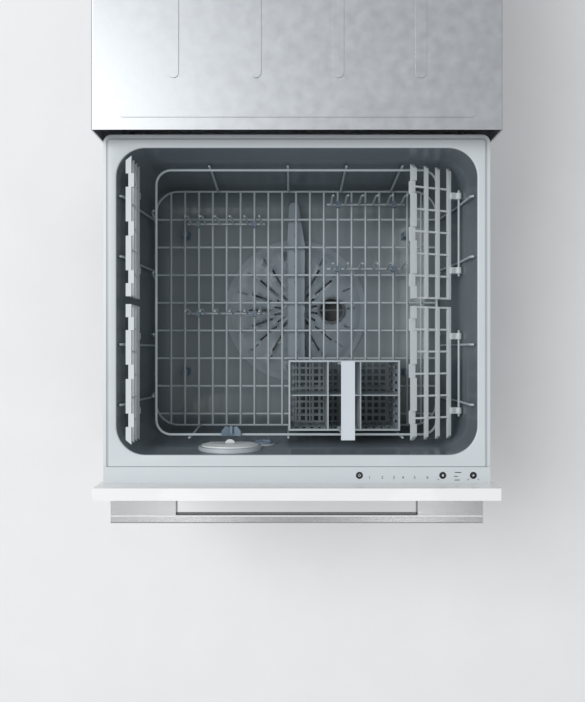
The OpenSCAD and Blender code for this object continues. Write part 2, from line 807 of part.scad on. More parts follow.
module handle() {
  block_w = (handle_w - finger_w) / 2;
  edge_r = 2;
  front = strip_front - panel_t - handle_out;
  color("silver") in_drawer() difference() {
    translate([0, 0, handle_z]) {
      translate([-handle_w / 2, front + bar_d / 2, 0]) rotate([0, 90, 0])
        linear_extrude(handle_w) rounded(handle_h, bar_d, edge_r);
      for (s = [-1, 1])
        translate([s * (handle_w - block_w) / 2 - block_w / 2, front + handle_out / 2, 0])
          rotate([0, 90, 0]) linear_extrude(block_w) rounded(handle_h, handle_out, edge_r);
    }
    for (s = [-1, 1], x = [-0.5, 0.5] * handle_screw_pitch)
      translate([s * handle_screw_x + x, strip_front - panel_t + 1, handle_z])
        rotate([90, 0, 0]) cylinder(h = 17, r = 2);
  }
}

module handle_screws() {
  color("dimgray") in_drawer()
    for (s = [-1, 1], x = [-0.5, 0.5] * handle_screw_pitch)
      translate([s * handle_screw_x + x, strip_front, handle_z])
        rotate([-90, 0, 0]) screw(4.5, 2.2, 1.95, panel_t + 14);
}

// ---------- wash system ----------

module sump_housing() {
  color("slategray") in_drawer() difference() {
    union() {
      translate([0, 0, sump_floor]) cylinder(h = sump_h, r = sump_r);
      translate([0, 0, sump_top - 3]) cylinder(h = 3, r = sump_r + 7);
      translate([0, 60, sump_floor + 14]) rotate([-90, 0, 0]) cylinder(h = 62, r = 13);
    }
    translate([0, 0, sump_floor + 3]) cylinder(h = sump_h, r = sump_r - 3);
    translate([0, 0, sump_floor - 1]) cylinder(h = 10, r = shaft_r + run_fit);
    translate([0, 50, sump_floor + 14]) rotate([-90, 0, 0]) cylinder(h = 90, r = 10);
  }
}

module wash_motor() {
  color("dimgray") in_drawer() translate([0, 0, sump_floor - motor_h]) difference() {
    union() {
      cylinder(h = motor_h, r = motor_r);
      translate([0, 0, motor_h - 4])
        for (a = [0:90:270]) rotate([0, 0, a]) translate([motor_r - 4, -7, 0]) cube([16, 14, 4]);
      for (a = [0:30:330]) rotate([0, 0, a]) translate([motor_r - 1, -1, 5]) cube([4, 2, 22]);
    }
    translate([0, 0, 5]) cylinder(h = motor_h, r = shaft_r + run_fit);
  }
}

// Shaft and impeller in one, with swept blades on the disc
module wash_rotor() {
  bottom = sump_floor - motor_h + 5 + move_gap;
  disc_z = sump_floor + 8;
  color("white") in_drawer() {
    translate([0, 0, bottom]) cylinder(h = disc_z - bottom + 18, r = shaft_r);
    translate([0, 0, disc_z]) cylinder(h = 3, r = impeller_r);
    translate([0, 0, disc_z]) cylinder(h = 15, r1 = shaft_r + 8, r2 = shaft_r + 2);
    for (a = [0:45:315])
      rotate([0, 0, a]) translate([0, 0, disc_z + 3 - eps])
        linear_extrude(12) intersection() {
          translate([0, impeller_r * 0.75]) difference() {
            circle(impeller_r * 0.75);
            circle(impeller_r * 0.75 - 2.2);
          }
          translate([shaft_r + 1, 0]) square([impeller_r - shaft_r - 5, impeller_r * 0.62]);
        }
  }
}

module heater_plate() {
  color("silver") in_drawer() translate([0, 0, sump_floor + 3]) difference() {
    union() {
      cylinder(h = 2, r = sump_r - 5);
      translate([0, 0, 2 - eps]) rotate_extrude() translate([70, 0]) square([9, 2.5]);
    }
    translate([0, 0, -1]) cylinder(h = 4, r = impeller_r + 3);
  }
}

module filter_plate() {
  color("lightsteelblue") in_drawer() difference() {
    union() {
      // a shallow cone that stands on the floor round the well
      translate([0, 0, floor_z]) rotate_extrude()
        polygon([
          [spindle_r + 10, plate_z - floor_z + 2], [spindle_r + 10, plate_z - floor_z - 0.5],
          [plate_r - 22, 2], [plate_r - 14, 0], [plate_r, 0], [plate_r, 2.4],
          [plate_r - 10, 2.4], [plate_r - 20, 4.5]
        ]);
      // spindle of the spray arm
      translate([0, 0, plate_z - 0.5]) cylinder(h = 2.5, r = spindle_r + 12);
      translate([0, 0, plate_z]) cylinder(h = arm_z + 8 - move_gap - plate_z, r = spindle_r);
    }
    // three rings of drain slots
    for (ring = [32, 102], a = [0:20:340])
      rotate([0, 0, a + ring]) translate([ring, 0, floor_z + 4]) cube([16, 3.5, 12], center = true);
    for (a = [40:20:320])
      rotate([0, 0, a]) translate([66, 0, floor_z + 4]) cube([40, 3.5, 12], center = true);
    translate([filter_out, 0, floor_z - 10]) cylinder(h = 40, r = filter_r + move_gap);
  }
}

module drain_filter() {
  bottom = sump_floor + 10;
  top = plate_z + 2;
  color("steelblue") in_drawer() translate([filter_out, 0, 0]) difference() {
    union() {
      translate([0, 0, bottom]) cylinder(h = top - bottom, r = filter_r);
      translate([0, 0, top - eps]) cylinder(h = 2, r = filter_r + 1.5);
    }
    translate([0, 0, bottom + 2]) cylinder(h = 80, r = filter_r - 2);
    for (a = [0:45:315], k = [0:1])
      rotate([0, 0, a]) translate([filter_r, 0, bottom + 12 + 16 * k]) cube([8, 9, 11], center = true);
  }
  color("steelblue") in_drawer() translate([filter_out, 0, top])
    translate([-filter_r + 1, -1.5, -4]) cube([2 * filter_r - 2, 3, 6]);
}

// Two hollow-looking vanes with their jets
module spray_arm() {
  color("lightsteelblue") in_drawer() translate([0, 0, arm_z]) rotate([0, 0, 90]) difference() {
    union() {
      cylinder(h = 12, r = spindle_r + 8);
      for (s = [0, 180])
        rotate([0, 0, s]) hull() {
          translate([0, 0, 2]) cylinder(h = 9, r = spindle_r + 7, $fn = 32);
          translate([arm_l * 0.6, 0, 3]) cylinder(h = 8, r = 16, $fn = 32);
          translate([arm_l - 9, 4, 4]) cylinder(h = 5, r = 9, $fn = 32);
        }
    }
    translate([0, 0, -1]) cylinder(h = 9, r = spindle_r + run_fit);
    for (s = [0, 180], x = [50:28:arm_l - 12])
      rotate([0, 0, s]) translate([x, 2, 6]) cylinder(h = 12, r = 1.6, $fn = 16);
  }
}

// ---------- dispenser ----------

module facing_rear(z) {
  in_drawer() translate([-dispenser_x, -wall_in, z]) rotate([-90, 0, 0]) children();
}

module dispenser_body() {
  back = opening_d / 2 + 6 - wall_in;                // reaches past the tub's wall
  color("lightsteelblue") {
    facing_rear(-dispenser_drop) difference() {
      union() {
        translate([0, 0, -back]) cylinder(h = back + 5, r = dispenser_r);
        translate([0, 0, -back - 20]) cylinder(h = 20 + eps, r = cup_r + 2);
        translate([0, 0, -back]) cylinder(h = 3, r = dispenser_r + 4);
        translate([pod_x, pod_z, -back]) cylinder(h = back + 5, r = cap_r + 4);
      }
      // the detergent cup is the upper half, the lower half stays closed
      translate([0, 0, -26]) linear_extrude(40) difference() {
        circle(cup_r);
        translate([-60, -6]) square([120, 80]);
      }
      translate([0, 0, -6]) cylinder(h = 20, r = pivot_r + run_fit);
      translate([pod_x, pod_z, -1]) cylinder(h = 10, r = pivot_r + 3 + run_fit);
    }
  }
}

// The half-round door turns in its own plane on a pin at the middle
module dispenser_door() {
  front = 5 + move_gap;
  color("white") facing_rear(-dispenser_drop) {
    translate([0, 0, front]) difference() {
      union() {
        cylinder(h = 2.5, r = door_r);
        translate([0, 0, 2.5 - eps]) cylinder(h = 3, r1 = door_r - 1, r2 = door_r - 12);
      }
      translate([-60, 8, -1]) cube([120, 80, 20]);
    }
    translate([0, 0, -5]) cylinder(h = 12, r = pivot_r);
    translate([0, 0, front]) cylinder(h = 5.5, r = 8);
    // half-round grip that stands out like a small shelf
    translate([0, -1, front + 5 - eps]) rotate([90, 0, 0]) intersection() {
      translate([0, -2.9, 0]) cylinder(h = 5, r = 8.5);
      translate([-10, 0, -1]) cube([20, 10, 7]);
    }
  }
}

module rinse_aid_cap() {
  front = 5 + move_gap;
  color("slategray") facing_rear(-dispenser_drop) translate([pod_x, pod_z, 0]) {
    translate([0, 0, front]) cylinder(h = 3, r = cap_r);
    translate([0, 0, 1]) cylinder(h = 6, r = pivot_r + 3);
    for (a = [0:120:240])
      rotate([0, 0, a]) translate([-1.5, 0, front + 3 - eps]) cube([3, cap_r - 1, 3]);
  }
}

// ---------- basket ----------

module basket_floor() {
  color("lightblue") in_basket() translate([0, 0, -floor_drop]) {
    wire_ring(floor_hx, floor_hy, floor_r, wire_r);
    for (x = [-floor(floor_hx / pitch_x) * pitch_x + pitch_x:pitch_x:floor_hx - pitch_x + 1]) {
      cut = abs(x) > floor_hx - floor_r
        ? floor_r - sqrt(pow(floor_r, 2) - pow(abs(x) - floor_hx + floor_r, 2)) : 0;
      rod([x, -floor_hy + cut, 0], [x, floor_hy - cut, 0]);
    }
    for (y = [across_y:pitch_y:-across_y]) {
      cut = abs(y) > floor_hy - floor_r
        ? floor_r - sqrt(pow(floor_r, 2) - pow(abs(y) - floor_hy + floor_r, 2)) : 0;
      rod([-floor_hx + cut, y, -wire_step], [floor_hx - cut, y, -wire_step]);
    }
  }
}

// Feet snapped on the floor's wires from below
module basket_feet() {
  height = tub_depth - floor_drop - move_gap;
  color("slategray") in_basket()
    for (i = [-8, 8], k = [1.5, 6.5])
      translate([i * pitch_x, across_y + k * pitch_y, -floor_drop]) difference() {
        union() {
          translate([-4, -5, -height]) cube([8, 10, height]);
          translate([-6, -7, -height]) cube([12, 14, 3]);
        }
        translate([0, 10, 0]) rotate([90, 0, 0]) cylinder(h = 20, r = wire_r + run_fit);
      }
}

module basket_hoop() {
  color("lightblue") in_basket() translate([0, (hoop_rear - hoop_front) / 2, -hoop_drop])
    wire_ring(hoop_hx, (hoop_rear + hoop_front) / 2, hoop_r, hoop_wire_r);
}

// Posts from the floor up to the outside of the hoop, their tips above it
module basket_uprights() {
  out = wire_r + hoop_wire_r + weld_gap;
  foot_z = -floor_drop + wire_r + weld_gap;
  color("lightblue") in_basket() {
    for (row = uprights, x = row[2])
      bent_wire([
        [x, row[1] * (floor_hy - 0.6), foot_z],
        [x, row[1] * (row[0] + out), -hoop_drop - 30],
        [x, row[1] * (row[0] + out), -hoop_drop + 12]
      ]);
    for (s = [-1, 1], y = [-150:100:150])
      bent_wire([
        [s * (floor_hx - 0.6), y, foot_z],
        [s * (hoop_hx + 10), y, -hoop_drop - 20],
        [s * (hoop_hx + out), y, -hoop_drop]
      ]);
  }
}

// Posts that lean out to the tub's wall, and the rods that the cup racks hinge on
module rack_support(side) {
  post_x = hinge_x + wire_r + hinge_r - 0.7;         // beside the hinge rod, welded to it
  color("lightblue") in_basket() on_side(side) {
    for (row = [-1, 1]) {
      for (post = [-1, 1]) {
        y = row * rack_y + post * post_pitch / 2;
        bent_wire([
          [floor_hx + 2 * wire_r + weld_gap, y, -floor_drop],
          [post_x, y, -hinge_drop - 12],
          [post_x, y, -14],
          [opening_w / 2 - 2.8, y, -9]
        ]);
      }
      translate([hinge_x, row * rack_y - post_pitch / 2 - 24, -hinge_drop]) rotate([-90, 0, 0])
        cylinder(h = post_pitch + 48, r = hinge_r);
    }
  }
}

module rack_support_left() rack_support(-1);
module rack_support_right() rack_support(1);

// A winged clip on the hoop's front wire
module hoop_clip() {
  color("slategray") in_basket() translate([-dispenser_x, -hoop_front, -hoop_drop]) {
    difference() {
      union() {
        translate([-4, 0, 0]) rotate([0, 90, 0]) cylinder(h = 8, r = 3.6);
        translate([-2, 2, 0]) cube([4, 12, 9]);
        for (s = [-1, 1])
          on_side(s) translate([3, 3.6, 2])
            rotate([0, -20, 12]) linear_extrude(2) polygon([[0, -5], [12, -8], [14, 0], [9, 9], [0, 8]]);
      }
      translate([-20, 0, 0]) rotate([0, 90, 0]) cylinder(h = 40, r = hoop_wire_r + run_fit);
    }
  }
}

// ---------- tines ----------

module at_row(x, y) {
  in_basket() translate([x, y, axle_z]) children();
}

// Blocks snapped over the floor's wires, bored for the axles
module tine_clips() {
  color("slategray")
    for (row = [[row_left, row_rear_left], [row_right, row_rear_right],
                [row_left, row_mid_left], [row_right, row_mid_right]])
      for (s = [-1, 1])
        at_row(row[0] + s * 2 * pitch_x, row[1]) difference() {
          translate([-4, -5, -axle_rise]) cube([8, 10, axle_rise + 5]);
          translate([-10, 0, 0]) rotate([0, 90, 0]) cylinder(h = 20, r = axle_r + run_fit);
          translate([0, 10, -axle_rise]) rotate([90, 0, 0]) cylinder(h = 20, r = wire_r + run_fit);
        }
}

// An axle with paired tines that lean towards each other
module tine_row() {
  count = floor((row_l - 15) / tine_pitch);
  color("lightblue") {
    translate([-row_l / 2, 0, 0]) rotate([0, 90, 0]) cylinder(h = row_l, r = axle_r);
    for (i = [0:count]) {
      x = (i - count / 2) * tine_pitch;
      bent_wire([[x, 0, 0], [x, 6, tine_h * 0.6], [x, 0, tine_h]], wire_r - 0.1);
    }
  }
}

module tines_rear_left() at_row(row_left, row_rear_left) tine_row();
module tines_rear_right() at_row(row_right, row_rear_right) tine_row();
module tines_mid_left() at_row(row_left, row_mid_left) tine_row();
module tines_mid_right() at_row(row_right, row_mid_right) tine_row();

// ---------- cup racks ----------

// A rack stands up from its hinge along +Z, with its slats on the +X side
module cup_rack() {
  slat_n = 8;           // middle of the slats from the hinge
  slat_pitch = 22;
  first = rack_reach - 6 - 3 * slat_pitch;
  bars = 6;
  tip_t = 8.5;
  color("aliceblue") difference() {
    cup_rack_form(slat_n, slat_pitch, first, bars, tip_t);
    // the outer end is cut back to follow the tub's corner
    translate([slat_n + 5, rack_l / 2, -5]) rotate([0, 0, 220])
      translate([0, -12, 0]) cube([30, 12, rack_reach + 10]);
  }
}

module cup_rack_form(slat_n, slat_pitch, first, bars, tip_t) {
  union() {
    for (k = [0:2])
      translate([slat_n - 3, -rack_l / 2, first + k * slat_pitch - 2.5]) cube([6, rack_l, 5]);
    // cross bars
    for (i = [0:bars])
      translate([slat_n - 1.5, -rack_l / 2 + i * (rack_l - 3) / bars, first - 2.5])
        cube([3, 3, rack_reach - 2 - first]);
    // the tip is crenellated: blocks stand out behind it and notches in front
    translate([slat_n - 1, -rack_l / 2, rack_reach - 7]) cube([3, rack_l, 7]);
    for (block = [[0, 0.092], [0.184, 0.428], [0.53, 0.774], [0.87, 1]])
      translate([slat_n - 5, -rack_l / 2 + block[0] * rack_l, rack_reach - 7])
        cube([tip_t, (block[1] - block[0]) * rack_l, 7]);
    for (block = [[0.092, 0.184], [0.428, 0.53], [0.774, 0.87]])
      translate([slat_n - 1, -rack_l / 2 + block[0] * rack_l, rack_reach - 7])
        cube([tip_t, (block[1] - block[0]) * rack_l, 7]);
    // knuckles that clip on the hinge rod
    for (s = [-1, 1])
      translate([0, s * (post_pitch / 2 + 14) - 5, 0]) difference() {
        union() {
          rotate([-90, 0, 0]) cylinder(h = 10, r = hinge_r + 2.6);
          translate([0, 0, -2]) cube([slat_n + 2, 10, first + 1]);
        }
        translate([0, -1, 0]) rotate([-90, 0, 0]) cylinder(h = 12, r = hinge_r + run_fit);
      }
  }
}

module rack_at(side, row, fold) {
  in_basket() on_side(side) translate([-hinge_x, row * rack_y, -hinge_drop])
    rotate([0, fold, 0]) mirror([0, row < 0 ? 1 : 0, 0]) cup_rack();
}

module cup_rack_rear_left() rack_at(1, 1, 0);
module cup_rack_front_left() rack_at(1, -1, 0);
module cup_rack_rear_right() rack_at(-1, 1, rack_fold);
module cup_rack_front_right() rack_at(-1, -1, rack_fold);

// ---------- cutlery basket ----------

module lattice(w, d, pitch, hole) {
  nx = floor((w - 4) / pitch);
  ny = floor((d - 4) / pitch);
  difference() {
    square([w, d], center = true);
    for (i = [0:nx - 1], j = [0:ny - 1])
      translate([(i - (nx - 1) / 2) * pitch, (j - (ny - 1) / 2) * pitch])
        square(hole, center = true);
  }
}

// A wall of the basket with tall slots, lying in the plane of its length and height
module slotted_wall(length, height) {
  n = floor((length - 10) / 13);
  difference() {
    translate([-length / 2, 0]) square([length, height]);
    for (i = [0:n - 1], row = [0, 1])
      translate([(i - (n - 1) / 2) * 13 - 2.5, 8 + row * height * 0.42])
        square([5, height * 0.36]);
  }
}

module upright_wall(at, turn, length, height) {
  translate(at) rotate([0, 0, turn]) rotate([90, 0, 0])
    translate([0, 0, -cutlery_t / 2]) linear_extrude(cutlery_t) slotted_wall(length, height);
}

module cutlery_basket() {
  hx = (cutlery_w - cutlery_t) / 2;
  hy = (cutlery_d - cutlery_t) / 2;
  color("lightsteelblue") in_drawer() translate([cutlery_x, cutlery_y, cutlery_z]) difference() {
    union() {
      linear_extrude(2) lattice(cutlery_w, cutlery_d, 12, 8);
      for (s = [-1, 1]) {
        upright_wall([0, s * hy, 0], 0, cutlery_w, cutlery_h);
        upright_wall([s * hx, 0, 0], 90, cutlery_d, cutlery_h);
        translate([s * divider_x - cutlery_t / 2, -hy, 0]) cube([cutlery_t, 2 * hy, cutlery_h]);
      }
      translate([-hx, -cutlery_t / 2, 0]) cube([2 * hx, cutlery_t, cutlery_h - 6]);
      // a bead round the top edge
      translate([0, 0, cutlery_h - 4]) linear_extrude(4) difference() {
        square([cutlery_w, cutlery_d], center = true);
        square([cutlery_w - 6, cutlery_d - 6], center = true);
      }
      // bosses for the handle's pins
      for (s = [-1, 1])
        translate([0, s * (hy - 0.5), cutlery_h - 12]) rotate([90, 0, 0])
          cylinder(h = cutlery_t + 1, r = pivot_r + 4, center = true);
    }
    translate([0, 0, cutlery_h - 12]) rotate([90, 0, 0])
      cylinder(h = cutlery_d + 10, r = pivot_r + run_fit, center = true);
  }
}

// A flat strap bent down at both ends, with a pin at each foot
module cutlery_handle() {
  leg_out = (cutlery_d - cutlery_t) / 2 - 2 - move_gap;  // outer face of a leg
  top = -strap_drop - pivot_z;
  front = leg_out + 9;
  rear = leg_out + 3;
  color("lightsteelblue") in_drawer() translate([cutlery_x, cutlery_y, pivot_z]) {
    rotate([90, 0, 90]) translate([0, 0, -strap_w / 2]) linear_extrude(strap_w) {
      translate([-leg_out, -7]) square([strap_t, top + 7]);
      translate([leg_out - strap_t, -7]) square([strap_t, top + 7]);
      translate([-front, top - strap_t]) square([front + rear, strap_t]);
      translate([-front, top - 8]) square([strap_t, 8]);
    }
    for (s = [-1, 1])
      translate([0, s * (leg_out - 0.5), 0]) rotate([-s * 90, 0, 0])
        cylinder(h = cutlery_d / 2 - 0.2 - leg_out + 0.5, r = pivot_r);
  }
}

// ---------- the assembly ----------

chassis_wrap();
chassis_base();
chassis_back();
chassis_screws();
slide_fixed_left();
slide_fixed_right();
slide_middle_left();
slide_middle_right();
slide_drawer_left();
slide_drawer_right();
lid_panel();
lid_seal();
lid_bushes();
lid_drive_left();
lid_drive_right();
inlet_valve();
drain_outlet();
cable_inlet();
tub();
control_fascia();
power_button();
programme_button();
start_button();
controller_box();
front_panel();
panel_carrier();
panel_screws();
handle();
handle_screws();
sump_housing();
wash_motor();
wash_rotor();
heater_plate();
filter_plate();
drain_filter();
spray_arm();
dispenser_body();
dispenser_door();
rinse_aid_cap();
basket_floor();
basket_feet();
basket_hoop();
basket_uprights();
rack_support_left();
rack_support_right();
hoop_clip();
tine_clips();
tines_rear_left();
tines_rear_right();
tines_mid_left();
tines_mid_right();
cup_rack_rear_left();
cup_rack_front_left();
cup_rack_rear_right();
cup_rack_front_right();
cutlery_basket();
cutlery_handle();
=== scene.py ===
# %% [markdown]
# # A dishwasher drawer, dressed over its CAD model
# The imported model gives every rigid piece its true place, and it is loaded first
# as a frame that never moves. This script gives those pieces their finishes and
# rebuilds the ones whose solids are plainer than the real thing: coated wire,
# the moulded rim and the printed labels. All sizes are in metres, as in Blender.

# %% Load the frame
import json
import math

import bmesh
import bpy
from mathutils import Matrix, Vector


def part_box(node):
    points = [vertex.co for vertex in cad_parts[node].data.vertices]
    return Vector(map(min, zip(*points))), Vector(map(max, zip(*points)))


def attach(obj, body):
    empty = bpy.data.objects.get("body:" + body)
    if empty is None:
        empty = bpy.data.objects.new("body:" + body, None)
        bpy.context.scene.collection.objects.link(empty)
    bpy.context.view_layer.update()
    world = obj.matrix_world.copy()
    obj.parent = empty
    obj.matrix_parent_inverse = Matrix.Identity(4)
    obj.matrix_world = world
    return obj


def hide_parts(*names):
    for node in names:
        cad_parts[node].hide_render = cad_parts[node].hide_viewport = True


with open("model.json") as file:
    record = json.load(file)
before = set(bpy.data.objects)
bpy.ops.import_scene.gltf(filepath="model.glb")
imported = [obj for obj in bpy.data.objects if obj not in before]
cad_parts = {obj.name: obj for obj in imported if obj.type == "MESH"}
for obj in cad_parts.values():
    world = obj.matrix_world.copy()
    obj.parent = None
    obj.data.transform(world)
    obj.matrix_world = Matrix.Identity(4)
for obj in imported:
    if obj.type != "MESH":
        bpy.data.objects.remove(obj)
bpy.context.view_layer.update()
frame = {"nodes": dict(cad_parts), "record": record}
NODES = frame["nodes"]

# %% [markdown]
# The drawer has its own origin, at the middle of the tub's opening and level with
# the rim. Giving places from there keeps the numbers short, and `in_drawer` turns
# them into places in the frame. The panel's own box tells where that origin is, so
# nothing breaks if the drawer is stored a little further out.

# %% The drawer's own origin
PANEL_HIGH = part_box("front_panel")[1]
STRIP_FRONT = -0.275
RIM_DROP = 0.048
DRAWER = Vector((0, PANEL_HIGH.y - STRIP_FRONT, PANEL_HIGH.z - RIM_DROP))


def in_drawer(x, y, z):
    return DRAWER + Vector((x, y, z))


print("drawer origin", [round(v, 4) for v in DRAWER])

# %% [markdown]
# The photograph looks straight down from about 1.3 m above the rim. Its
# left and right tub walls show equally, and the panel's top edge is larger than the
# rim by as much as it is nearer, which gives the height. A camera with no rotation
# looks down -Z with +Y up the picture, so only its place and lens are needed.

# %% Camera
camera = bpy.data.objects.new("camera", bpy.data.cameras.new("camera"))
bpy.context.collection.objects.link(camera)
camera.location = (-0.0065, -0.598, 1.684)
camera.data.lens = 43.5
camera.data.sensor_width = 36
bpy.context.scene.camera = camera
print("camera", camera.location[:], "lens", camera.data.lens)

# %% [markdown]
# Soft daylight comes from the left, and the room fills the shadows. One large lamp
# stands for the window, and the world for the room. Two small ones hang over the
# front, and it is their blurred reflections that give the steel handle a bright
# patch near each end and a darker middle.

# %% Lamps and world
def soft_lamp(name, place, aim, size, power):
    lamp = bpy.data.lights.new(name, "AREA")
    lamp.shape, lamp.size, lamp.energy = "SQUARE", size, power
    holder = bpy.data.objects.new(name, lamp)
    bpy.context.collection.objects.link(holder)
    holder.location = place
    holder.rotation_euler = (Vector(aim) - Vector(place)).to_track_quat("-Z", "Y").to_euler()
    return lamp.energy


world = bpy.data.worlds.new("room")
bpy.context.scene.world = world
world.use_nodes = True
world.node_tree.nodes["Background"].inputs["Color"].default_value = (0.96, 0.98, 1, 1)
world.node_tree.nodes["Background"].inputs["Strength"].default_value = 0.6
print("window", soft_lamp("window", (-2.3, 0.25, 4.2), (0, -0.55, 0.3), 2.7, 108), "W")
for word, x in (("left", -0.52), ("right", 0.56)):
    print(word, soft_lamp("softbox_" + word, (x, -1.43, 3.2), (0.3 * x, -0.8, 0.39), 0.35, 1.2), "W")
bpy.context.scene.view_settings.view_transform = "Standard"

# %% [markdown]
# ## Finishes
# Moulded plastic is never quite one colour: it has a fine grain that catches light,
# and a faint clouding where it has been wiped. Several materials here share that, so
# it is a node group with its own inputs. It works in object space, so it has the
# same scale on every piece.

# %% Group: moulded grain
def new_group(name, inputs, outputs):
    group = bpy.data.node_groups.new(name, "ShaderNodeTree")
    for socket, kind, value in inputs:
        made = group.interface.new_socket(socket, in_out="INPUT", socket_type=kind)
        made.default_value = value
    for socket, kind in outputs:
        group.interface.new_socket(socket, in_out="OUTPUT", socket_type=kind)
    start = group.nodes.new("NodeGroupInput")
    end = group.nodes.new("NodeGroupOutput")
    return group, start.outputs, end.inputs


def add(tree, kind, **settings):
    node = tree.nodes.new(kind)
    for key, value in settings.items():
        setattr(node, key, value)
    return node


def feed(tree, value, socket):
    """Sets a socket to a number, or links it to another node's output."""
    if isinstance(value, (int, float)):
        socket.default_value = value
    else:
        tree.links.new(value, socket)


def own_place(tree):
    """Where a point is, measured in the piece's own space."""
    return add(tree, "ShaderNodeTexCoord").outputs["Object"]


def noise(tree, scale, detail, vector=None):
    made = add(tree, "ShaderNodeTexNoise")
    feed(tree, detail, made.inputs["Detail"])
    feed(tree, scale, made.inputs["Scale"])
    feed(tree, vector or own_place(tree), made.inputs["Vector"])
    return made.outputs["Fac"]


def spread(tree, value, low, high):
    """Stretches a value between nought and one to lie between two others."""
    made = add(tree, "ShaderNodeMapRange")
    for socket, amount in (("Value", value), ("To Min", low), ("To Max", high)):
        feed(tree, amount, made.inputs[socket])
    return made.outputs["Result"]


def tinted(tree, colour, amount):
    """Multiplies a colour's brightness by a changing amount."""
    made = add(tree, "ShaderNodeHueSaturation")
    tree.links.new(colour, made.inputs["Color"])
    tree.links.new(amount, made.inputs["Value"])
    return made.outputs["Color"]


COLOUR, FLOAT = "NodeSocketColor", "NodeSocketFloat"
grain, given, result = new_group(
    "Moulded grain",
    [("Colour", COLOUR, (0.5, 0.5, 0.5, 1)), ("Grain scale", FLOAT, 900),
     ("Dull", FLOAT, 0.96), ("Bright", FLOAT, 1.03), ("Smooth", FLOAT, 0.35), ("Rough", FLOAT, 0.5)],
    [("Colour", COLOUR), ("Roughness", FLOAT), ("Height", FLOAT)])
clouding = noise(grain, 9.0, 4)
cloudy = spread(grain, clouding, given["Dull"], given["Bright"])
grain.links.new(tinted(grain, given["Colour"], cloudy), result["Colour"])
grain.links.new(spread(grain, clouding, given["Smooth"], given["Rough"]), result["Roughness"])
grain.links.new(noise(grain, given["Grain scale"], 1), result["Height"])
print("group", grain.name, "with", len(grain.nodes), "nodes")

# %% [markdown]
# Brushed steel is thousands of fine scratches that all run one way. Noise stretched
# hard along that way gives them: it hardly changes along the scratch and changes
# fast across it. The handle is brushed along X, so X is squeezed before the noise.

# %% Group: brushed lines
brushed, given, result = new_group(
    "Brushed lines",
    [("Colour", COLOUR, (0.6, 0.6, 0.6, 1)), ("Along", FLOAT, 3), ("Across", FLOAT, 900),
     ("Dull", FLOAT, 0.86), ("Bright", FLOAT, 1.1), ("Smooth", FLOAT, 0.26), ("Rough", FLOAT, 0.42)],
    [("Colour", COLOUR), ("Roughness", FLOAT), ("Height", FLOAT)])
stretch = add(brushed, "ShaderNodeCombineXYZ")
for axis, socket in (("X", "Along"), ("Y", "Across"), ("Z", "Across")):
    brushed.links.new(given[socket], stretch.inputs[axis])
scaled = add(brushed, "ShaderNodeVectorMath", operation="MULTIPLY")
brushed.links.new(own_place(brushed), scaled.inputs[0])
brushed.links.new(stretch.outputs["Vector"], scaled.inputs[1])
scratches = noise(brushed, 1.0, 3, scaled.outputs["Vector"])
streaky = spread(brushed, scratches, given["Dull"], given["Bright"])
brushed.links.new(tinted(brushed, given["Colour"], streaky), result["Colour"])
brushed.links.new(spread(brushed, scratches, given["Smooth"], given["Rough"]), result["Roughness"])
brushed.links.new(scratches, result["Height"])
print("group", brushed.name, "with", len(brushed.nodes), "nodes")

# %% [markdown]
# Every finish is a Principled shader fed by one of the groups. Values that are the
# same all over, such as metallic or coat, go straight onto the shader's own sockets.
# The group's height drives a shallow bump, so its grain catches the light.

# %% A material from a group
BUMP_DEPTH = 0.0004


def finish(name, group, colour, bump=0.05, metallic=0.0, coat=0.0, **values):
    made = bpy.data.materials.new(name)
    made.use_nodes = True
    tree = made.node_tree
    shader = tree.nodes["Principled BSDF"]
    effect = add(tree, "ShaderNodeGroup", node_tree=group)
    effect.inputs["Colour"].default_value = (*colour, 1)
    for key, value in values.items():
        effect.inputs[key.replace("_", " ").capitalize()].default_value = value
    tree.links.new(effect.outputs["Colour"], shader.inputs["Base Color"])
    tree.links.new(effect.outputs["Roughness"], shader.inputs["Roughness"])
    relief = add(tree, "ShaderNodeBump")
    relief.inputs["Strength"].default_value = bump
    relief.inputs["Distance"].default_value = BUMP_DEPTH
    tree.links.new(effect.outputs["Height"], relief.inputs["Height"])
    tree.links.new(relief.outputs["Normal"], shader.inputs["Normal"])
    shader.inputs["Metallic"].default_value = metallic
    shader.inputs["Coat Weight"].default_value = coat
    return made


PLASTIC = {
    "tub_plastic": ((0.60, 0.64, 0.665), {}),
    "strip_plastic": ((0.60, 0.64, 0.665), {}),
    "lid_plastic": ((0.55, 0.58, 0.60), {"rough": 0.6}),
    "bush_plastic": ((0.80, 0.80, 0.78), {}),
    "dark_plastic": ((0.035, 0.036, 0.038), {"rough": 0.6}),
    "white_plastic": ((0.80, 0.80, 0.78), {"smooth": 0.25, "rough": 0.38}),
    "sump_plastic": ((0.10, 0.11, 0.12), {"rough": 0.6}),
    "filter_grey": ((0.24, 0.29, 0.32), {"smooth": 0.25, "rough": 0.42}),
    "dispenser_grey": ((0.42, 0.46, 0.49), {}),
    "door_pale": ((0.66, 0.69, 0.70), {"smooth": 0.22, "rough": 0.36}),
    "clip_blue": ((0.16, 0.22, 0.28), {}),
    "wire_coating": ((0.46, 0.52, 0.55), {"smooth": 0.24, "rough": 0.4, "grain_scale": 1500}),
    "rack_plastic": ((0.60, 0.64, 0.66), {"smooth": 0.35}),
    "cutlery_plastic": ((0.42, 0.47, 0.50), {}),
    "strap_plastic": ((0.58, 0.62, 0.67), {"grain_scale": 500, "bright": 1.12, "dull": 0.88}),
    "seal_rubber": ((0.012, 0.012, 0.013), {"smooth": 0.5, "rough": 0.75}),
    "button_black": ((0.006, 0.0065, 0.007), {"smooth": 0.2, "rough": 0.3}),
}
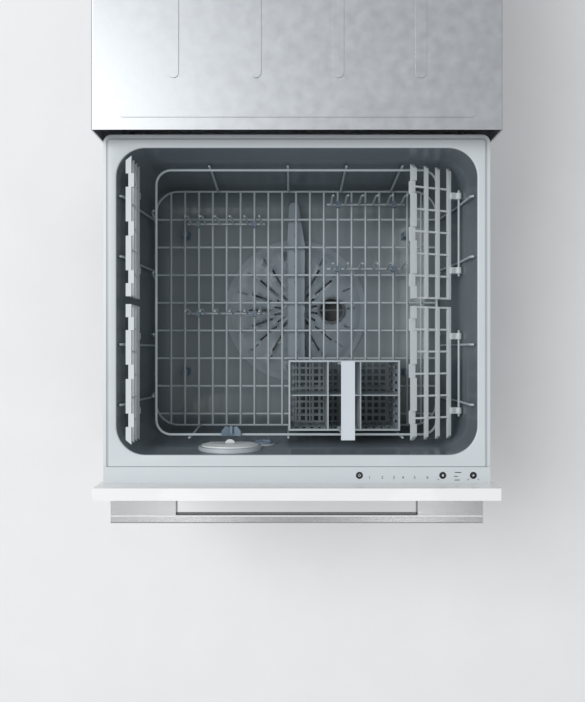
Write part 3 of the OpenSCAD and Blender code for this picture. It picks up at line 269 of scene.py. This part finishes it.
METAL = {
    "brushed_steel": ((0.46, 0.46, 0.46), {"smooth": 0.2, "rough": 0.3}),
    "galvanised_sheet": ((0.52, 0.54, 0.56), {"along": 60, "across": 60, "smooth": 0.34, "rough": 0.5}),
    "zinc_screw": ((0.62, 0.63, 0.64), {"along": 200, "across": 200}),
    "slide_steel": ((0.48, 0.50, 0.52), {"along": 400, "across": 4}),
    "stainless": ((0.50, 0.50, 0.49), {"along": 300, "across": 300}),
}
SHOP = {name: finish(name, grain, colour, **values) for name, (colour, values) in PLASTIC.items()}
for name, (colour, values) in METAL.items():
    SHOP[name] = finish(name, brushed, colour, bump=0.08, metallic=1.0, **values)
SHOP["panel_white"] = finish("panel_white", grain, (0.86, 0.86, 0.855), bump=0.02, coat=0.3,
                             smooth=0.3, rough=0.38, grain_scale=350)
SHOP["dark_screw"] = finish("dark_screw", grain, (0.02, 0.02, 0.022), metallic=0.6)
SHOP["motor_paint"] = finish("motor_paint", grain, (0.02, 0.021, 0.023), coat=0.2)
print(len(SHOP), "finishes")

# %% [markdown]
# The steel inside the finger gap sees only the panel and the bar, so it looks dark.
# A mask made from which way a face looks, and from how far it is along the handle,
# picks those faces and multiplies their colour down.

# %% Shade inside the finger gap
FACING, IN_SHADE, HALF_GAP = 0.6, 0.08, 0.2


def along_axes(tree, vector):
    """Splits a vector into its X, Y and Z."""
    made = add(tree, "ShaderNodeSeparateXYZ")
    tree.links.new(vector, made.inputs["Vector"])
    return made.outputs


def group_node(tree):
    return next(node for node in tree.nodes if node.type == "GROUP")


def shade_inside(material, half_gap):
    """Darkens the faces that look back, and those within half a gap that look along the bar."""
    tree = material.node_tree
    facing = along_axes(tree, add(tree, "ShaderNodeNewGeometry").outputs["True Normal"])
    place = along_axes(tree, own_place(tree))

    def step(operation, first, second):
        node = add(tree, "ShaderNodeMath", operation=operation)
        feed(tree, first, node.inputs[0])
        feed(tree, second, node.inputs[1])
        return node.outputs["Value"]

    back = step("GREATER_THAN", facing["Y"], FACING)
    across = step("GREATER_THAN", step("ABSOLUTE", facing["X"], 0), FACING)
    within = step("LESS_THAN", step("ABSOLUTE", place["X"], 0), half_gap)
    dark = step("MAXIMUM", back, step("MULTIPLY", across, within))
    shaded = tinted(tree, group_node(tree).outputs["Colour"], spread(tree, dark, 1.0, IN_SHADE))
    tree.links.new(shaded, tree.nodes["Principled BSDF"].inputs["Base Color"])


shade_inside(SHOP["brushed_steel"], HALF_GAP)
print("steel inside the gap is", IN_SHADE, "as bright")

# %% [markdown]
# The record names a material slot for every node, so the finishes go onto the CAD
# nodes by that name. Moulded and folded pieces have no perfectly sharp edges, and
# a small bevel gives each one the thin line of light that makes it look made. The
# solids come in with every face on its own, so a weld joins them before the bevel,
# which then rounds only the edges sharper than BEVEL_ANGLE.

# %% Dress the CAD nodes
SLOTS = {entry["node"]: entry["material_slot"] for entry in frame["record"]["subparts"]}
EDGE = {"front_panel": 0.0009, "handle": 0.0006, "control_fascia": 0.0005,
        "cutlery_handle": 0.0005, "cutlery_basket": 0.0003, "dispenser_body": 0.0006,
        "dispenser_door": 0.0005, "spray_arm": 0.0008, "hoop_clip": 0.0003,
        "tine_clips": 0.0004, "basket_feet": 0.0004, "lid_panel": 0.0005,
        "controller_box": 0.0008, "filter_plate": 0.0003, "drain_filter": 0.0004,
        "chassis_wrap": 0.0003, "sump_housing": 0.0005}
EDGE.update({name: 0.0006 for name in NODES if name.startswith("cup_rack")})
MERGE, BEVEL_ANGLE = 0.00001, math.radians(30)


def soften(piece, width):
    weld = piece.modifiers.new("weld", "WELD")
    weld.merge_threshold = MERGE
    bevel = piece.modifiers.new("edge", "BEVEL")
    bevel.width, bevel.segments = width, 2
    bevel.limit_method, bevel.angle_limit = "ANGLE", BEVEL_ANGLE


for name, piece in NODES.items():
    piece.data.materials.clear()
    piece.data.materials.append(SHOP[SLOTS[name]])
    if name in EDGE:
        soften(piece, EDGE[name])
print("dressed", len(NODES), "nodes,", len(EDGE), "with softened edges")

# %% [markdown]
# ## Coated wire
# Baskets are welded from steel wire and dipped in plastic, so the wires are round,
# flow into each other where they cross, and end in soft beads. The solids use
# eight-sided rods. A curve with a round bevel draws the real section, and narrowing
# its last points gives the bead at a free end.

# %% Bend and round a strand
def rounded_path(points, radius, steps=5):
    """Replaces each corner of a path by an arc-like run of points."""
    points = [Vector(p) for p in points]
    path = [points[0]]
    for before, corner, after in zip(points, points[1:], points[2:]):
        reach = min(radius, (corner - before).length / 2, (after - corner).length / 2)
        start = corner + (before - corner).normalized() * reach
        end = corner + (after - corner).normalized() * reach
        for i in range(steps + 1):
            t = i / steps
            path.append(start.lerp(corner, t).lerp(corner.lerp(end, t), t))
    return path + [points[-1]]


def wirework(name, strands, radius, body, node, slot="wire_coating"):
    """strands: (points, closed, bead at start, bead at end)."""
    shape = bpy.data.curves.new(name, "CURVE")
    shape.dimensions = "3D"
    shape.bevel_depth, shape.bevel_resolution = radius, 3
    shape.use_fill_caps = True
    for points, closed, bead_start, bead_end in strands:
        points = [(Vector(p), 1.0) for p in points]
        if bead_end:
            points = points[:-1] + beaded(points[-2][0], points[-1][0], radius)
        if bead_start:
            points = beaded(points[1][0], points[0][0], radius)[::-1] + points[1:]
        spline = shape.splines.new("POLY")
        spline.points.add(len(points) - 1)
        for target, (place, width) in zip(spline.points, points):
            target.co, target.radius = (*place, 1), width
        spline.use_cyclic_u = closed
    shape.materials.append(SHOP[slot])
    piece = bpy.data.objects.new(name, shape)
    bpy.context.collection.objects.link(piece)
    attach(piece, body)
    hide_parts(node)


def beaded(inner, tip, radius):
    """The last points of a strand, narrowing to a round end."""
    way = (tip - inner).normalized()
    return [(tip - way * radius * (1 - math.sin(a)), max(math.cos(a), 0.05))
            for a in (math.radians(d) for d in (0, 30, 55, 75, 88))]


print("a bead has", len(beaded(Vector(), Vector((0, 0, 1)), 0.002)), "points")

# %% [markdown]
# The floor of the basket is a rounded ring with wires front to back, and others
# under them from side to side. Its sizes are those of the solid, so the curve sits
# exactly where the solid is.

# %% Basket floor
WIRE = 0.0019
BASKET_Y = 0.002
FLOOR_Z, HOOP_Z = -0.246, -0.088
FLOOR_X, FLOOR_Y, FLOOR_CORNER = 0.252, 0.210, 0.040
UNDER = 2 * WIRE - 0.0006
PITCH_X, PITCH_Y, FIRST_ACROSS = 0.025, 0.05, -0.190
WELD = 0.0001


def in_basket(x, y, z):
    return in_drawer(x, y + BASKET_Y, z)


def ring(half_x, front, rear, corner, z, steps=10):
    points = []
    back, fore = rear - corner, corner - front
    for c, (sx, y) in enumerate(((1, back), (-1, back), (-1, fore), (1, fore))):
        for k in range(steps + 1):
            a = math.radians(90 * c + 90 * k / steps)
            x = sx * (half_x - corner) + corner * math.cos(a)
            points.append(in_basket(x, y + corner * math.sin(a), z))
    return points


def cut_back(place, half):
    """How much shorter a floor wire is where the ring's corner cuts it."""
    beyond = abs(place) - (half - FLOOR_CORNER)
    return FLOOR_CORNER - math.sqrt(FLOOR_CORNER**2 - beyond**2) if beyond > 0 else 0


strands = [(ring(FLOOR_X, FLOOR_Y, FLOOR_Y, FLOOR_CORNER, FLOOR_Z), True, False, False)]
for i in range(-9, 10):
    x, end = PITCH_X * i, FLOOR_Y - cut_back(PITCH_X * i, FLOOR_X)
    strands.append(([in_basket(x, -end, FLOOR_Z), in_basket(x, end, FLOOR_Z)], False, False, False))
for i in range(8):
    y = FIRST_ACROSS + PITCH_Y * i
    end = FLOOR_X - cut_back(y, FLOOR_Y)
    across = [in_basket(-end, y, FLOOR_Z - UNDER), in_basket(end, y, FLOOR_Z - UNDER)]
    strands.append((across, False, False, False))
wirework("basket_floor_wires", strands, WIRE, "basket", "basket_floor")
print("floor strands", len(strands))

# %% [markdown]
# A heavier hoop runs round the basket higher up. Uprights stand outside it at the
# front and rear: they run straight for the last STRAIGHT below the hoop, and their
# beaded tips show above it. Others lean up to it from the floor at the sides.

# %% Hoop and uprights
HOOP_X, HOOP_FRONT, HOOP_REAR, HOOP_CORNER = 0.2265, 0.2118, 0.2150, 0.024
HOOP_WIRE = WIRE + 0.0002
OUT = WIRE + HOOP_WIRE + WELD
FOOT = FLOOR_Z + WIRE + WELD
FOOT_X, FOOT_Y = FLOOR_X - 0.0006, FLOOR_Y - 0.0006
STRAIGHT, TIP = 0.03, 0.012
SIDE_OUT, SIDE_DOWN = 0.010, 0.020
hoop = ring(HOOP_X, HOOP_FRONT, HOOP_REAR, HOOP_CORNER, HOOP_Z)
wirework("basket_hoop_wire", [(hoop, True, False, False)], HOOP_WIRE, "basket", "basket_hoop")
strands = []
for side, hoop_y, places in ((1, HOOP_REAR, (-0.140, -0.014, 0.080, 0.170)),
                             (-1, HOOP_FRONT, (-0.172, -0.013, 0.085, 0.170))):
    for x in places:
        y = side * (hoop_y + OUT)
        path = [in_basket(x, side * FOOT_Y, FOOT), in_basket(x, y, HOOP_Z - STRAIGHT),
                in_basket(x, y, HOOP_Z + TIP)]
        strands.append((rounded_path(path, radius=0.008), False, False, True))
for side in (-1, 1):
    for y in (-0.150, -0.050, 0.050, 0.150):
        path = [in_basket(side * FOOT_X, y, FOOT),
                in_basket(side * (HOOP_X + SIDE_OUT), y, HOOP_Z - SIDE_DOWN),
                in_basket(side * (HOOP_X + OUT), y, HOOP_Z)]
        strands.append((rounded_path(path, radius=0.010), False, False, True))
wirework("basket_upright_wires", strands, WIRE, "basket", "basket_uprights")
print("one hoop,", len(strands), "uprights")

# %% [markdown]
# Each cup rack hangs on a rod that two posts carry. The posts lean out to the tub's
# wall near the rim, and their ends are the pale dashes seen beside the racks.

# %% Rack supports
HINGE_X, HINGE_Z = 0.262, -0.088
RACK_Y, POST = 0.113, 0.046
ROD, ROD_PAST = 0.002, 0.024
POST_X = HINGE_X + WIRE + ROD - 0.0007
POST_BENDS = ((FLOOR_X + 2 * WIRE + WELD, FLOOR_Z), (POST_X, HINGE_Z - 0.012),
              (POST_X, -0.014), (0.2702, -0.009))
for side, word in ((-1, "left"), (1, "right")):
    strands = []
    for row in (-1, 1):
        middle = row * RACK_Y
        for y in (middle - POST, middle + POST):
            path = [in_basket(side * x, y, z) for x, z in POST_BENDS]
            strands.append((rounded_path(path, radius=0.006), False, True, True))
        rod = [in_basket(side * HINGE_X, middle + end * (POST + ROD_PAST), HINGE_Z) for end in (-1, 1)]
        strands.append((rod, False, True, True))
    wirework("rack_posts_" + word, strands, WIRE, "basket", "rack_support_" + word)
    print(word, "posts and rods", len(strands))

# %% [markdown]
# The tines are bent wires on a wire axle. They lean a little to the rear up to
# TINE_BEND and come forward again to the tip, so a plate's edge is caught between
# two of them.

# %% Tine rows
AXLE_Z, AXLE_HALF = FLOOR_Z + 0.010, 0.07
TINES, TINE_TOP, TINE_BEND, TINE_LEAN = 6, 0.090, 0.054, 0.006
ROWS = (("rear_left", "tines_rl", -0.125, 0.150), ("rear_right", "tines_rr", 0.125, 0.185),
        ("mid_left", "tines_ml", -0.125, -0.010), ("mid_right", "tines_mr", 0.125, 0.070))
for word, body, x, y in ROWS:
    axle = [in_basket(x + end * AXLE_HALF, y, AXLE_Z) for end in (-1, 1)]
    strands = [(axle, False, True, True)]
    for i in range(TINES):
        tine_x = x + (i - (TINES - 1) / 2) * PITCH_X
        path = [in_basket(tine_x, y, AXLE_Z), in_basket(tine_x, y + TINE_LEAN, AXLE_Z + TINE_BEND),
                in_basket(tine_x, y, AXLE_Z + TINE_TOP)]
        strands.append((rounded_path(path, radius=0.012), False, False, True))
    wirework("tines_" + word + "_wires", strands, WIRE, body, "tines_" + word)
    print("row", word, "with", len(strands) - 1, "tines")

# %% [markdown]
# ## The moulded tub
# The tub is one moulding: a wide flat rim with a shallow channel near its edge, a
# small radius where the rim turns down, and walls that draw in slightly and run
# into the floor on a big curve. Rings of points, joined one to the next, make it
# in one smooth sheet. It lies a third of a millimetre over the solid tub, which
# still shows its ledges, ribs and outside.

# %% Rings of the tub
CORNER_STEPS = 14
SKIN = 0.0003
RIM_X, RIM_REAR, RIM_R = 0.2925, 0.252, 0.012
SEAM, SEAM_R = -0.2494, 0.0004
OPENING_X, OPENING_Y, OPENING_R = 0.273, 0.232, 0.044
DRAIN_R, DRAIN_STEP = 0.0925, 0.0035


def outline(half_x, rear, front, rear_r, front_r, z):
    points = []
    corners = ((1, rear, rear_r), (-1, rear, rear_r), (-1, front, front_r), (1, front, front_r))
    for c, (sx, y, r) in enumerate(corners):
        sy = 1 if c < 2 else -1
        for k in range(CORNER_STEPS + 1):
            a = math.radians(90 * c + 90 * k / CORNER_STEPS)
            x = sx * (half_x - r) + r * math.cos(a)
            points.append(in_drawer(x, y - sy * r + r * math.sin(a), z))
    return points


def rim_ring(inset, z):
    return outline(RIM_X - inset, RIM_REAR - inset, SEAM, max(RIM_R - inset, 0.002), SEAM_R, z)


def wall_ring(inset, z):
    radius = OPENING_R - inset
    return outline(OPENING_X - inset, OPENING_Y - inset, -OPENING_Y + inset, radius, radius, z)


def drain_ring(radius, z):
    return outline(radius, radius, -radius, radius, radius, z)


RIM = [(0, -0.0005), (0.0002, -0.0001), (0.0007, 0), (0.0045, 0),
       (0.0048, -0.0010), (0.0076, -0.0010), (0.0079, 0)]
WALL = [(-0.0030, 0), (-0.0018, -0.0002), (-0.0008, -0.0007), (-0.0002, -0.0016), (0, -0.003),
        (0.0025, -0.0600), (0.0028, -0.0606), (0.0040, -0.0640),
        (0.0090, -0.2450), (0.0180, -0.2700), (0.0320, -0.2840), (0.0430, -0.2900)]
TUB_FLOOR = WALL[-1][1]
rings = [rim_ring(inset, z + SKIN) for inset, z in RIM]
rings += [wall_ring(inset + SKIN, z + SKIN) for inset, z in WALL]
rings += [drain_ring(DRAIN_R, TUB_FLOOR + SKIN), drain_ring(DRAIN_R, TUB_FLOOR - DRAIN_STEP)]
print(len(rings), "rings of", len(rings[0]), "points")

# %% [markdown]
# Four-sided faces join each ring to the next. Where two faces meet at a shallow angle
# they are shaded as one curve, so a dozen flats look round, and where they meet more
# sharply than SHARP the edge stays crisp. A bmesh is worked on first and turned into
# a piece last, in one helper that the flat marks further down use as well.

# %% Join the rings
SHARP = math.radians(38)


def mesh_piece(name, mesh, material):
    """Turns a worked mesh into a piece."""
    data = bpy.data.meshes.new(name)
    mesh.to_mesh(data)
    mesh.free()
    data.materials.append(material)
    piece = bpy.data.objects.new(name, data)
    bpy.context.collection.objects.link(piece)
    return piece


def sheet_of_rings(name, rings, body, material):
    mesh = bmesh.new()
    rows = [[mesh.verts.new(p) for p in ring_points] for ring_points in rings]
    for upper, lower in zip(rows, rows[1:]):
        for k in range(len(upper)):
            n = (k + 1) % len(upper)
            mesh.faces.new((upper[k], upper[n], lower[n], lower[k]))
    bmesh.ops.remove_doubles(mesh, verts=mesh.verts, dist=MERGE)
    bmesh.ops.recalc_face_normals(mesh, faces=mesh.faces)
    piece = mesh_piece(name, mesh, material)
    piece.data.shade_smooth()
    piece.data.set_sharp_from_angle(angle=SHARP)
    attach(piece, body)
    return piece


print("edges stay crisp above", round(math.degrees(SHARP)), "degrees")

# %% [markdown]
# The rim is pale, and the wash space below it is much darker, with a floor that is a
# little lighter than the walls, a soft sheen and faint clouds of scale. One material
# does it all: a ramp reads the height and gives the grain its colour. The channel in
# the rim lies just under the top, so it takes a little of the darker colour too, as painted shade that
# makes it read as a dark line.

# %% Tub plastic, coloured by height
def by_height(material, stops):
    """Colours a finish by height in object space. Stops are (height, colour), lowest first."""
    tree = material.node_tree
    low, high = stops[0][0], stops[-1][0]
    place = along_axes(tree, own_place(tree))
    level = add(tree, "ShaderNodeMapRange")
    for socket, value in (("From Min", low), ("From Max", high), ("Value", place["Z"])):
        feed(tree, value, level.inputs[socket])
    ramp = add(tree, "ShaderNodeValToRGB")
    tree.links.new(level.outputs["Result"], ramp.inputs["Fac"])
    marks = ramp.color_ramp.elements
    for i, (height, colour) in enumerate(stops):
        at = (height - low) / (high - low)
        mark = marks[0] if i == 0 else marks[-1] if i == len(stops) - 1 else marks.new(at)
        mark.color = (*colour, 1)
    tree.links.new(ramp.outputs["Color"], group_node(tree).inputs["Colour"])
    return len(marks)


RIM_COLOUR, WALL_COLOUR = (0.60, 0.64, 0.665), (0.13, 0.155, 0.175)
LOW_COLOUR, FLOOR_COLOUR = (0.13, 0.155, 0.17), (0.20, 0.24, 0.26)
tub_skin = finish("tub_skin", grain, RIM_COLOUR, bump=0.03,
                  smooth=0.18, rough=0.3, dull=0.9, bright=1.08)
# The stop just under the rim's top also lays painted shade into the rim's channel.
stops = [(TUB_FLOOR, FLOOR_COLOUR), (-0.2600, LOW_COLOUR), (-0.2000, WALL_COLOUR),
         (-0.0016, WALL_COLOUR), (-0.0001, RIM_COLOUR)]
print("stops", by_height(tub_skin, [(DRAWER.z + height, colour) for height, colour in stops]))
tub_piece = sheet_of_rings("tub_shell", rings, "drawer", tub_skin)
print("tub shell faces", len(tub_piece.data.polygons))

# %% [markdown]
# ## Printed marks
# Each black button carries a tiny pale mark: a ring with a bar for power, two arcs and
# a dot for the programme, and a triangle for start. They are flat outlines, and each
# outline becomes one face, which looks up because its points run anticlockwise. They
# ride the buttons, so they go down with them when one is pressed.

# %% Marks on the buttons
ARC_STEPS = 16


def flat_faces(name, outlines, z, material):
    """Lays flat outlines down at a height, as one piece."""
    mesh = bmesh.new()
    for points in outlines:
        mesh.faces.new([mesh.verts.new(in_drawer(x, y, z)) for x, y in points])
    return mesh_piece(name, mesh, material)


def arc(x, y, r, start, end, width):
    """The outline of a piece of ring, angles in degrees."""
    angles = [math.radians(start + (end - start) * k / ARC_STEPS) for k in range(ARC_STEPS + 1)]
    edges = ((r + width / 2, angles), (r - width / 2, angles[::-1]))
    return [(x + edge * math.cos(a), y + edge * math.sin(a)) for edge, run in edges for a in run]


def film(name, loops, z, body, slot, material=None):
    """Flat outlines on a piece that moves."""
    piece = flat_faces(name, loops, z, material or SHOP[slot])
    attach(piece, body)


KEY_Y, KEY_TOP = SEAM - 0.0136, 0.00067
POWER_X, PROGRAMME_X, START_X = 0.0947, 0.2207, 0.2669
bar = [(-0.0003, 0.0004), (0.0003, 0.0004), (0.0003, 0.0024), (-0.0003, 0.0024)]
ring_and_bar = [arc(POWER_X, KEY_Y, 0.0018, 125, 415, 0.0006),
                [(POWER_X + x, KEY_Y + y) for x, y in bar]]
two_arcs_and_dot = [arc(PROGRAMME_X, KEY_Y - 0.0004, 0.0017, 20, 160, 0.0006),
                    arc(PROGRAMME_X, KEY_Y, 0.0006, 0, 350, 0.0008),
                    arc(PROGRAMME_X, KEY_Y + 0.0004, 0.0017, 200, 340, 0.0006)]
corners = [(-0.0012, -0.0017), (0.0018, 0), (-0.0012, 0.0017)]
triangle = [(START_X + x, KEY_Y + y) for x, y in corners]
for word, outlines in (("power", ring_and_bar), ("programme", two_arcs_and_dot), ("start", [triangle])):
    film(word + "_mark", outlines, KEY_TOP, word + "_key", "door_pale")
    print(word, "mark has", len(outlines), "faces")

# %% [markdown]
# Small dark marks are printed on the strip beside the buttons. They are given here
# as plain numbers for the programmes, and dots and bars for the lamps, each a film of
# ink less than a tenth of a millimetre proud. Blender's own text object makes the
# numbers, because its outlines stay sharp at any size.

# %% Printed numbers
ink = finish("ink", grain, (0.02, 0.022, 0.025), bump=0.0, smooth=0.5, rough=0.6)
INK_Z, INK_HALF = 0.00006, 0.00003
LABEL_Y, LABEL_SIZE = SEAM - 0.0168, 0.0064


def printed_number(text, x):
    shape = bpy.data.curves.new("number_" + text, "FONT")
    shape.body, shape.size, shape.extrude = text, LABEL_SIZE, INK_HALF
    shape.align_x, shape.align_y = "CENTER", "CENTER"
    shape.materials.append(ink)
    piece = bpy.data.objects.new("number_" + text, shape)
    bpy.context.collection.objects.link(piece)
    piece.location = in_drawer(x, LABEL_Y, INK_Z)
    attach(piece, "drawer")


for number, x in enumerate((0.1098, 0.1292, 0.1467, 0.1604, 0.1781, 0.1975), start=1):
    printed_number(str(number), x)
print("numbers 1 to", number)

# %% [markdown]
# The lamps are short bars with round ends, and so are the dots, whose bars are hardly
# longer than they are deep.

# %% Lamps and dots
HALF_TURN_STEPS = 6


def rounded_bar(x, y, width, depth):
    """The outline of a short bar with round ends."""
    r = depth / 2
    points = []
    for side, start in ((1, -90), (-1, 90)):
        for k in range(HALF_TURN_STEPS + 1):
            a = math.radians(start + 180 * k / HALF_TURN_STEPS)
            points.append((x + side * (width / 2 - r) + r * math.cos(a), y + r * math.sin(a)))
    return points


def printed_bars(name, bars):
    """bars: (x, y, width, depth), each with rounded ends."""
    piece = flat_faces(name, [rounded_bar(*bar) for bar in bars], INK_Z, ink)
    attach(piece, "drawer")


LAMPS = [(0.2437, SEAM - 0.0092, 0.0100, 0.0012), (0.2405, SEAM - 0.0150, 0.0060, 0.0012),
         (0.2423, SEAM - 0.0206, 0.0080, 0.0012)]
DOTS = [(x, SEAM - 0.0200, 0.0018, 0.0016) for x in (0.2137, 0.2592, 0.2744)]
printed_bars("lamp_marks", LAMPS + DOTS)
print("lamps", len(LAMPS), "dots", len(DOTS))

# %% [markdown]
# A pale strip runs the whole length of the handle, where the front bar meets the
# two end blocks. It is a painted highlight, the brightest line on the steel, so it has a pale material.

# %% The handle's painted highlight
HANDLE_LOW, HANDLE_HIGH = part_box("handle")
BAR, PROUD = 0.014, 0.00005
LINE_IN, LINE_HALF, LINE_END = 0.0028, 0.0007, 0.0008
# A pale film on the handle's top: a painted highlight along the seam.
painted_highlight = finish("painted_highlight_line", brushed, (0.88, 0.88, 0.88), bump=0.0, metallic=0.1)
line_y = HANDLE_LOW.y - DRAWER.y + BAR - LINE_IN
line_x = HANDLE_HIGH.x - LINE_END
near, far = line_y - LINE_HALF, line_y + LINE_HALF
strip = [(-line_x, near), (line_x, near), (line_x, far), (-line_x, far)]
line_z = HANDLE_HIGH.z - DRAWER.z + PROUD
film("handle_highlight", [strip], line_z, "drawer", "brushed_steel", painted_highlight)
print("polished line", round(2 * line_x, 3), "m long")

# %% [markdown]
# ## Floor
# The object stands on nothing but a pale studio floor. The camera sees its colour
# directly, which is close to white, and it still takes the object's shadow.

# %% Studio floor
bpy.ops.mesh.primitive_plane_add(size=12, location=(0, 0, -0.001))
floor = bpy.context.object
floor.name = "studio_floor"
paper = finish("studio_paper", grain, (0.86, 0.86, 0.86), bump=0.0, smooth=0.7, rough=0.8)
floor.data.materials.append(paper)
print("floor", floor.name)
